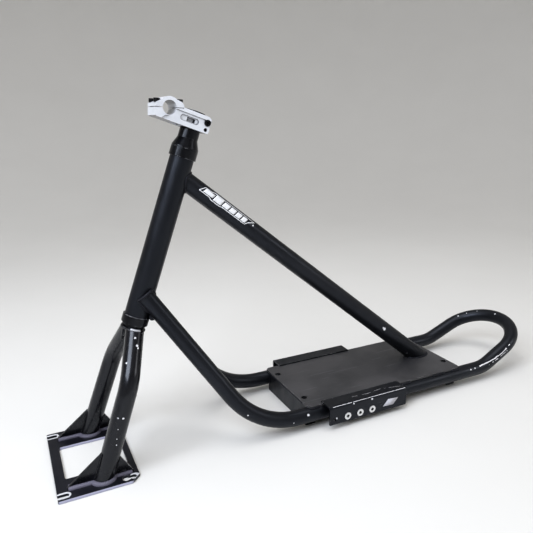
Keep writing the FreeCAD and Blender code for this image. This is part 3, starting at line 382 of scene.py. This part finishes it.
LOOKS = {
    "frame_paint": paint("frame_paint", (0.0045, 0.0048, 0.0062, 1.0), 0.36, 0.0, ALL_FRAME_CHIPS,
                         shine=0.42),
    "fork_paint": paint("fork_paint", (0.0035, 0.0035, 0.005, 1.0), 0.26, 0.6, ALL_FORK_CHIPS, 0.8),
    "deck": scuffed_deck(),
    "plate_paint": paint("plate_paint", (0.010, 0.010, 0.014, 1.0), 0.34, 0.2, edge_share=1.0, slotted=True,
                         edge_start=0.36),
    # The fork's weld beads: the fork's black paint lightened to grey-blue, a painted highlight where the smooth
    # beads catch the light.
    "fork_weld_painted_light": paint("fork_weld_painted_light", (0.115, 0.108, 0.140, 1.0), 0.42, 0.2, edge_share=0.0,
                       crumb_share=0.0),
    "frame_weld": paint("frame_weld", (0.010, 0.010, 0.013, 1.0), 0.34, 0.1, edge_share=0.0,
                        crumb_share=0.0),
    "bare_steel": metal("bare_steel", (0.84, 0.84, 0.88, 1.0), 0.34, 0.1, 0.45, 0.15),
    "headset_black": paint("headset_black", (0.0035, 0.0035, 0.0045, 1.0), 0.20, 0.3, edge_share=0.35,
                           crumb_share=0.0),
    "stem_white": stem_white(),
    "bolt_black": metal("bolt_black", (0.018, 0.018, 0.020, 1.0), 0.34, 0.05, 0.8),
    "race_steel": metal("race_steel", (0.66, 0.67, 0.70, 1.0), 0.22, 0.08),
    "insert_steel": metal("insert_steel", (0.78, 0.79, 0.80, 1.0), 0.28, 0.08),
    "decal_white": vinyl("decal_white", (0.84, 0.85, 0.88, 1.0), 0.35),
    "decal_silver": vinyl("decal_silver", (0.58, 0.58, 0.63, 1.0), 0.28),
}

for entry in frame["record"]["subparts"]:
    look_name = "deck" if entry["node"] == "deck_plate" else entry["material_slot"]
    for material_slot in frame["nodes"][entry["node"]].material_slots:
        material_slot.material = LOOKS[look_name]


# ---------------------------------------------------------------- pieces made of mesh


def object_from(name, bm, material):
    """A smooth-shaded object in the scene, made from a bmesh."""
    mesh = bpy.data.meshes.new(name)
    bm.to_mesh(mesh)
    bm.free()
    for face in mesh.polygons:
        face.use_smooth = True
    mesh.materials.append(material)
    made = bpy.data.objects.new(name, mesh)
    bpy.context.scene.collection.objects.link(made)
    return made


def piece_from(name, bm, look, body, slot):
    """A smooth-shaded piece made from a bmesh, riding on a body."""
    piece = object_from(name, bm, LOOKS[look])
    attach(piece, body)
    return piece


def even_steps(points, pitch, closed):
    """The same line with a point every so often."""
    line = points + points[:1] if closed else points
    lengths = [(b - a).length for a, b in zip(line, line[1:])]
    total = sum(lengths)
    count = max(6, round(total / pitch))
    result = []
    index = 0
    passed = 0.0
    for number in range(count if closed else count + 1):
        wanted = total * number / count
        while index < len(lengths) - 1 and passed + lengths[index] < wanted:
            passed += lengths[index]
            index += 1
        share = (wanted - passed) / max(lengths[index], 1e-9)
        result.append(line[index].lerp(line[index + 1], min(max(share, 0.0), 1.0)))
    return result


def join_rings(bm, rings, closed=False):
    """Quads between each ring of vertices and the next."""
    pairs = list(zip(rings, rings[1:])) + ([(rings[-1], rings[0])] if closed else [])
    for first, second in pairs:
        for turn, corner in enumerate(first):
            following = (turn + 1) % len(first)
            bm.faces.new((corner, first[following], second[following], second[turn]))


RIPPLE = 2.3
RINGS_PER_RIPPLE = 5
BEAD_SIDES = 12


def weld(name, points, radius, body, closed=False, look=None):
    """A weld bead: a half-buried tube whose surface is a row of overlapping ripples."""
    # Beads on the steering body take the fork's black paint lightened as a painted highlight.
    slot, usual = ("fork_paint", "fork_weld_painted_light") if body == "steering" else ("frame_paint", "frame_weld")
    line = even_steps(points, mm(RIPPLE) / RINGS_PER_RIPPLE, closed)
    count = len(line)
    bm = bmesh.new()
    rings = []
    side = None
    for index, centre in enumerate(line):
        before = line[index - 1] if closed or index > 0 else centre
        after = line[(index + 1) % count] if closed or index < count - 1 else centre
        heading = (after - before).normalized()
        if side is None:
            side = heading.orthogonal().normalized()
        side = (side - heading * side.dot(heading)).normalized()
        other = heading.cross(side)
        phase = (index % RINGS_PER_RIPPLE) / RINGS_PER_RIPPLE
        swell = 0.86 + 0.14 * math.sqrt(max(0.0, 1.0 - (1.0 - phase) ** 2))
        uneven = 1.0 + 0.10 * noise.noise(centre * 140.0)
        taper = 1.0 if closed else min(1.0, 0.45 + 0.18 * min(index, count - 1 - index))
        reach = mm(radius) * swell * uneven * taper
        ring = []
        for turn in range(BEAD_SIDES):
            angle = 2 * math.pi * turn / BEAD_SIDES
            out = side * math.cos(angle) + other * math.sin(angle)
            ring.append(bm.verts.new(centre + out * reach))
        rings.append(ring)
    join_rings(bm, rings, closed)
    if not closed:
        bm.faces.new(rings[0][::-1])
        bm.faces.new(rings[-1])
    bmesh.ops.recalc_face_normals(bm, faces=bm.faces)
    piece_from(name, bm, look or usual, body, slot)


def round_axis(station, radius, start, end):
    """Points round the steering axis between two angles in degrees, counted from the front to the left."""
    closed = end - start >= 360
    count = max(8, round((end - start) / 3))
    points = []
    for number in range(count if closed else count + 1):
        angle = math.radians(start + (end - start) * number / count)
        points.append(on_axis(station, radius * math.cos(angle), radius * math.sin(angle)))
    return points


TUBE_LINES = 120


def tube_lines(start, heading, radius):
    """Points round a tube's surface, from which its straight lines run along the heading."""
    first = heading.orthogonal().normalized()
    second = heading.cross(first)
    for number in range(TUBE_LINES):
        angle = 2 * math.pi * number / TUBE_LINES
        yield start + (first * math.cos(angle) + second * math.sin(angle)) * mm(radius)


def meet_head_tube(point, heading):
    """Where a line first meets the head tube's cylinder, or None."""
    across = heading - AXIS_UP * heading.dot(AXIS_UP)
    offset = point - AXIS_FOOT
    offset = offset - AXIS_UP * offset.dot(AXIS_UP)
    a = across.dot(across)
    b = 2 * across.dot(offset)
    root = b * b - 4 * a * (offset.dot(offset) - mm(HEAD_TUBE_RADIUS) * mm(HEAD_TUBE_RADIUS))
    if root < 0:
        return None
    return point + heading * ((-b - math.sqrt(root)) / (2 * a))


def meet_plane(point, heading, place, normal):
    """Where a line meets a plane, given by a point in it and its normal."""
    return point + heading * ((place - point).dot(normal) / heading.dot(normal))


def weld_head_joints():
    """Beads where the top tube and both rails meet the head tube, and the filled corner under the rails."""
    heading = (TOP_TUBE_TOP - TOP_TUBE_FOOT).normalized()
    lines = tube_lines(TOP_TUBE_FOOT, heading, TOP_TUBE_RADIUS)
    points = [meet_head_tube(point, heading) for point in lines]
    weld("weld_top_tube_to_head", points, 2.6, "frame", closed=True)
    for side, sign in SIDES.items():
        end = on_axis(RAIL_TOP_STATION, side=RAIL_TOP_SIDE * sign)
        front = mm(RAIL_BEND[0], RAIL_SIDE * sign, RAIL_BEND[1])
        heading = (end - front).normalized()
        points = []
        for point in tube_lines(front, heading, RAIL_RADIUS):
            at_end = meet_plane(point, heading, end, heading)
            at_head = meet_head_tube(point, heading)
            nearer = at_head is not None and (at_head - point).dot(heading) < (at_end - point).dot(heading)
            points.append(at_head if nearer else at_end)
        weld("weld_%s_rail_to_head" % side, points, 2.8, "frame", closed=True)
    weld("weld_under_rails", [on_axis(219.0, -23.0, side) for side in (-17, -9, 0, 9, 17)], 6.6, "frame")


def weld_deck():
    """Beads round the top tube's foot, along the cross tubes and along the deck's sides."""
    heading = (TOP_TUBE_FOOT - TOP_TUBE_TOP).normalized()
    lines = tube_lines(TOP_TUBE_TOP, heading, TOP_TUBE_FOOT_RADIUS)
    points = [meet_plane(point, heading, mm(0, 0, DECK_TOP), UP) for point in lines]
    weld("weld_top_tube_to_deck", points, 2.6, "frame", closed=True)
    for end, sign in (("front", 1), ("rear", -1)):
        for face, way in (("outer", sign), ("inner", -sign)):
            x = BOLT_X * sign + CROSS_TUBE_HALF_DEPTH * way
            line = [mm(x, y, CROSS_TUBE_TOP) for y in (-66, 66)]
            weld("weld_%s_cross_tube_%s" % (end, face), line, 2.0, "frame")
    for side, sign in SIDES.items():
        for number, stretch in enumerate(((181, 160), (-26, -52), (-110, -140), (-160, -181))):
            line = [mm(x, (DECK_HALF + 0.6) * sign, CROSS_TUBE_TOP - 0.2) for x in stretch]
            weld("weld_%s_deck_edge_%d" % (side, number), line, 2.0, "frame")


# Each gusset's place, the x of its bead's tip, its height, its bead's radius and which way it runs.
GUSSETS = (("front", 608.5, 46.0, 4.9, 1), ("rear", 508.0, 32.0, 4.3, -1))
GUSSET_BEAD_OFFSET = 2.8


def weld_fork():
    """Beads round the legs' feet and both faces of each gusset, and round the crown."""
    slope = AXIS_UP.x / AXIS_UP.z
    for side, sign in SIDES.items():
        foot = on_axis((PLATE_TOP - DECK_TOP) / AXIS_UP.z, side=LEG_FOOT_SIDE * sign)
        knee = LEG_KNEE + LEFT * mm(LEG_KNEE_SIDE * sign)
        heading = (foot - knee).normalized()
        lines = tube_lines(knee, heading, LEG_RADIUS + 0.2)
        points = [meet_plane(point, heading, mm(0, 0, PLATE_TOP), UP) for point in lines]
        weld("weld_%s_leg_foot" % side, points, 4.8, "steering", closed=True)
        for place, tip, tall, radius, way in GUSSETS:
            root = foot.x * 1000 + way * LEG_RADIUS / AXIS_UP.z
            for face, out in (("outer", 1), ("inner", -1)):
                name = "weld_%s_%s_gusset_%s" % (side, place, face)
                y = LEG_FOOT_SIDE * sign + out * GUSSET_BEAD_OFFSET
                start = mm(root, y, PLATE_TOP)
                weld(name, [mm(tip, y, PLATE_TOP), start], radius, "steering")
                top = mm(root + slope * tall, y, PLATE_TOP + tall)
                weld(name + "_rise", [start, top], 1.3, "steering", look="fork_paint")
    crown = round_axis(CROWN_BEAD_STATION + 0.2, 18.6, 0, 360)
    weld("weld_crown", crown, 2.6, "steering", closed=True, look="fork_paint")
    worn = round_axis(CROWN_BEAD_STATION + 0.6, 18.9, 62, 118)
    weld("weld_crown_worn", worn, 2.65, "steering", look="bare_steel")
    for place, fore in (("front", 15.2), ("rear", -15.2)):
        seam = [on_axis(CROWN_BEAD_STATION, fore), on_axis(CROWN_BEAD_STATION - 23.0, fore * 0.8)]
        weld("weld_crown_%s_seam" % place, seam, 2.6, "steering", look="fork_paint")


# ---------------------------------------------------------------- wear

SCRATCH_LIFT = 0.14


def scratch(name, nodes, corners, width, body, breaks):
    """Bare metal along a line on a surface: a thin ribbon of uneven width. Lower breaks give more gaps."""
    line = even_steps([mm(*corner) for corner in corners], mm(1.0), False)
    bm = bmesh.new()
    previous = None
    for before, centre, after in zip(line[:1] + line, line, line[1:] + line[-1:]):
        spot, normal = near_surface(nodes, centre)
        across = (after - before).cross(normal).normalized()
        if noise.noise(centre * 110.0 + Vector((7.0, 0.0, 0.0))) > breaks:
            previous = None
            continue
        reach = mm(width) * (0.5 + 0.35 * noise.noise(centre * 330.0))
        wander = across * mm(width) * 0.4 * noise.noise(centre * 190.0)
        middle = spot + normal * mm(SCRATCH_LIFT) + wander
        pair = [bm.verts.new(middle + across * reach * sign) for sign in (1, -1)]
        if previous:
            bm.faces.new((previous[0], previous[1], pair[1], pair[0]))
        previous = pair
    bmesh.ops.recalc_face_normals(bm, faces=bm.faces)
    piece_from(name, bm, "bare_steel", body, "race_steel")


def make_wear():
    """Scrapes on the hoop's bend, along the left strap plate and round the lower cup."""
    bend = ["left_side_rail", "rear_hoop"]
    upper = [(-236, 97.2, 35.5), (-250, 96.4, 37.3), (-267, 96.8, 41), (-284, 96.8, 46), (-300, 96.4, 52),
             (-316, 94.8, 60.4), (-327, 93, 66.5)]
    lower = [(-262, 99.5, 34), (-290, 99.5, 44), (-318, 98, 56)]
    scratch("scrape_rear_bend", bend, upper, 2.2, "frame", 0.25)
    scratch("scrape_rear_bend_low", bend, lower, 1.2, "frame", 0.05)
    strap = ["left_strap_plate"]
    edge = [(150, 116.6, STRAP_TOP), (-19, 116.6, STRAP_TOP)]
    top = [(95, 100, STRAP_TOP), (60, 103, STRAP_TOP), (30, 99, STRAP_TOP), (-13, 107, STRAP_TOP)]
    scratch("scrape_strap_edge", strap, edge, 0.9, "frame", 0.45)
    scratch("scrape_strap_top", strap, top, 0.6, "frame", 0.2)
    ring = [tuple(point * 1000) for point in round_axis(HEAD_TUBE_BOTTOM, 21.4, 20, 150)]
    scratch("scrape_lower_cup_edge", ["lower_cup"], ring, 0.9, "frame", 0.5)


# ---------------------------------------------------------------- decals

DECAL_RADIUS = TOP_TUBE_RADIUS + 0.25
DECAL_GROWTH = 1.35  # by how much the decal's radius would grow down to the tube's foot


def tube_spot(distance, angle):
    """A point just off the top tube: millimetres down it, and degrees up from its left side."""
    run = TOP_TUBE_FOOT - TOP_TUBE_TOP
    heading = run.normalized()
    upward = (UP - heading * UP.dot(heading)).normalized()
    reach = mm(DECAL_RADIUS) + mm(DECAL_GROWTH) * mm(distance) / run.length
    out = LEFT * math.cos(math.radians(angle)) + upward * math.sin(math.radians(angle))
    return TOP_TUBE_TOP + heading * mm(distance) + out * reach


def between(first, second, share):
    """A spot between two spots, each a distance and an angle."""
    return [(1 - share) * a + share * b for a, b in zip(first, second)]


def sticker(bm, corners, steps=6):
    """A four-cornered patch on the top tube; each corner is a distance and an angle."""
    rows = []
    for down in range(steps + 1):
        left = between(corners[0], corners[3], down / steps)
        right = between(corners[1], corners[2], down / steps)
        spots = [between(left, right, over / steps) for over in range(steps + 1)]
        rows.append([bm.verts.new(tube_spot(*spot)) for spot in spots])
    for first, second in zip(rows, rows[1:]):
        for a, b, c, d in zip(first, first[1:], second[1:], second):
            bm.faces.new((a, b, c, d))


def stroke(bm, start, end, width):
    """A thin straight line of the sticker between two spots."""
    arc = math.radians(DECAL_RADIUS)
    along, around = end[0] - start[0], (end[1] - start[1]) * arc
    length = math.hypot(along, around)
    shift = (-around / length * width / 2, along / length * width / 2 / arc)
    corners = [(spot[0] + shift[0] * sign, spot[1] + shift[1] * sign)
               for spot, sign in ((start, -1), (end, -1), (end, 1), (start, 1))]
    sticker(bm, corners, 8)


# Each block's length along the tube, and the angles of its lower and upper edges.
BLOCKS = ((20.0, 8, 36), (17.0, 1, 46), (13.0, 5, 40), (12.0, 5, 40), (11.0, 5, 40), (10.0, 5, 40))
BLOCKS_START = 47.0
BLOCK_GAP = 2.2
BLOCK_SLANT = 4.0
OUTLINE = [(40, 2), (62, 2), (66, -6), (86, -6), (90, -1), (142, -1), (147, 20), (160, 50), (68, 50),
           (62, 40), (49, 40)]
OUTLINE_WIDTH = 1.3


def make_blocks():
    """Plain slanted blocks in a thin outline, on the left of the top tube."""
    bm = bmesh.new()
    start = BLOCKS_START
    for width, low, high in BLOCKS:
        end = start + width
        sticker(bm, [(start, low), (end, low), (end + BLOCK_SLANT, high), (start + BLOCK_SLANT, high)])
        start = end + BLOCK_GAP
    for first, second in zip(OUTLINE, OUTLINE[1:] + OUTLINE[:1]):
        stroke(bm, first, second, OUTLINE_WIDTH)
    bmesh.ops.recalc_face_normals(bm, faces=bm.faces)
    blocks = piece_from("top_tube_blocks", bm, "decal_white", "frame", "stem_white")
    blocks.modifiers.new("thickness", "SOLIDIFY").thickness = mm(0.12)


def make_lozenge():
    """A plain silver lozenge on the left strap plate."""
    bm = bmesh.new()
    outer = mm(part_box("left_strap_plate")[1].y * 1000 + 0.2)
    corners = ((35, 20), (11, 19), (-1, 31.5), (23, 33))
    bm.faces.new([bm.verts.new((mm(x), outer, mm(z))) for x, z in corners])
    lozenge = piece_from("strap_plate_lozenge", bm, "decal_silver", "frame", "insert_steel")
    lozenge.modifiers.new("thickness", "SOLIDIFY").thickness = mm(0.15)


# ---------------------------------------------------------------- rounded versions of cut and sheared parts

SHARP_ANGLE = math.radians(35.0)
FLAT_ANGLE = math.radians(1.0)


def rounded(node, width, look, slot, body):
    """The CAD piece with its sharp edges broken, which then stands for it."""
    bm = bmesh.new()
    bm.from_mesh(frame["nodes"][node].data)
    bmesh.ops.remove_doubles(bm, verts=bm.verts, dist=mm(0.005))
    bmesh.ops.dissolve_limit(bm, angle_limit=FLAT_ANGLE, verts=bm.verts, edges=bm.edges)
    piece = piece_from(node + "_rounded", bm, look, body, slot)
    bevel = piece.modifiers.new("edges", "BEVEL")
    bevel.width = mm(width)
    bevel.segments = 3
    bevel.limit_method = "ANGLE"
    bevel.angle_limit = SHARP_ANGLE
    bevel.harden_normals = True
    bevel.use_clamp_overlap = True
    piece.modifiers.new("normals", "WEIGHTED_NORMAL").keep_sharp = True
    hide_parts(node)


weld_head_joints()
weld_deck()
weld_fork()
make_wear()
make_blocks()
make_lozenge()
rounded("board_plate", 0.8, "plate_paint", "fork_paint", "steering")
for side_name in SIDES:
    for end_name in ("front", "rear"):
        rounded("%s_%s_gusset" % (side_name, end_name), 0.7, "fork_paint", "fork_paint", "steering")
rounded("deck_plate", 0.8, "deck", "frame_paint", "frame")
for side_name in SIDES:
    rounded(side_name + "_strap_plate", 0.6, "frame_paint", "frame_paint", "frame")


# ---------------------------------------------------------------- stage, light and camera

FLOOR_RADIUS = 1.3
BACKDROP_REACH = 4.2
BACKDROP_HEIGHT = 5.0
BACKDROP_STEPS = 48
BACKDROP_TURNS = 96
FLOOR_DROP = 0.0002


def make_floor():
    """A pale floor that curves up into a round backdrop."""
    bm = bmesh.new()
    rings = []
    for number in range(BACKDROP_STEPS + 1):
        share = number / BACKDROP_STEPS
        reach = FLOOR_RADIUS + BACKDROP_REACH * share
        height = BACKDROP_HEIGHT * share ** 3
        ring = []
        for turn in range(BACKDROP_TURNS):
            angle = 2 * math.pi * turn / BACKDROP_TURNS
            ring.append(bm.verts.new((reach * math.cos(angle), reach * math.sin(angle), height)))
        rings.append(ring)
    join_rings(bm, rings)
    bm.faces.new(rings[0])
    look = Look("floor")
    look.set(Base_Color=look.blend(look.noise(3.0), (0.70, 0.69, 0.67, 1.0), (0.74, 0.73, 0.71, 1.0)))
    look.set(Roughness=0.75)
    floor = object_from("floor", bm, look.material)
    for face in floor.data.polygons:
        face.use_smooth = len(face.vertices) == 4
    floor.location.z = -FLOOR_DROP


def area_light(name, place, aim, width, height, power, colour=(1.0, 1.0, 1.0)):
    """A rectangular light at a place, turned towards its aim."""
    data = bpy.data.lights.new(name, "AREA")
    data.shape = "RECTANGLE"
    data.size = width
    data.size_y = height
    data.energy = power
    data.color = colour
    light = bpy.data.objects.new(name, data)
    light.location = place
    light.rotation_euler = (Vector(aim) - Vector(place)).to_track_quat("-Z", "Y").to_euler()
    bpy.context.scene.collection.objects.link(light)


def make_lights():
    """A soft light overhead, a cool key from the front left, a weak fill from behind and a pale room."""
    centre = (0.13, 0.0, 0.2)
    area_light("overhead", (0.2, 0.1, 2.6), centre, 2.2, 1.6, 27.0)
    area_light("key", (1.6, 0.8, 1.7), centre, 1.5, 1.2, 38.0, (0.84, 0.90, 1.0))
    area_light("fill", (-1.9, 1.6, 1.2), centre, 0.9, 0.9, 7.0)
    world = bpy.data.worlds.new("room")
    world.use_nodes = True
    room = world.node_tree.nodes["Background"]
    room.inputs["Color"].default_value = (0.88, 0.87, 0.86, 1.0)
    room.inputs["Strength"].default_value = 0.45
    bpy.context.scene.world = world


def make_camera():
    """The viewpoint: a place, the point it looks at, its roll and its lens."""
    place = Vector((0.6405, 0.8820, 0.5632))
    target = Vector((0.2215, 0.0, 0.2961))
    roll = math.radians(-1.007)
    data = bpy.data.cameras.new("camera")
    data.lens = 37.2
    data.sensor_width = 36.0
    camera = bpy.data.objects.new("camera", data)
    turn = (target - place).to_track_quat("-Z", "Y").to_matrix().to_4x4()
    camera.matrix_world = Matrix.Translation(place) @ turn @ Matrix.Rotation(roll, 4, "Z")
    bpy.context.scene.collection.objects.link(camera)
    bpy.context.scene.camera = camera


make_floor()
make_lights()
make_camera()
bpy.context.scene.view_settings.view_transform = "Standard"
bpy.context.scene.view_settings.look = "Medium High Contrast"
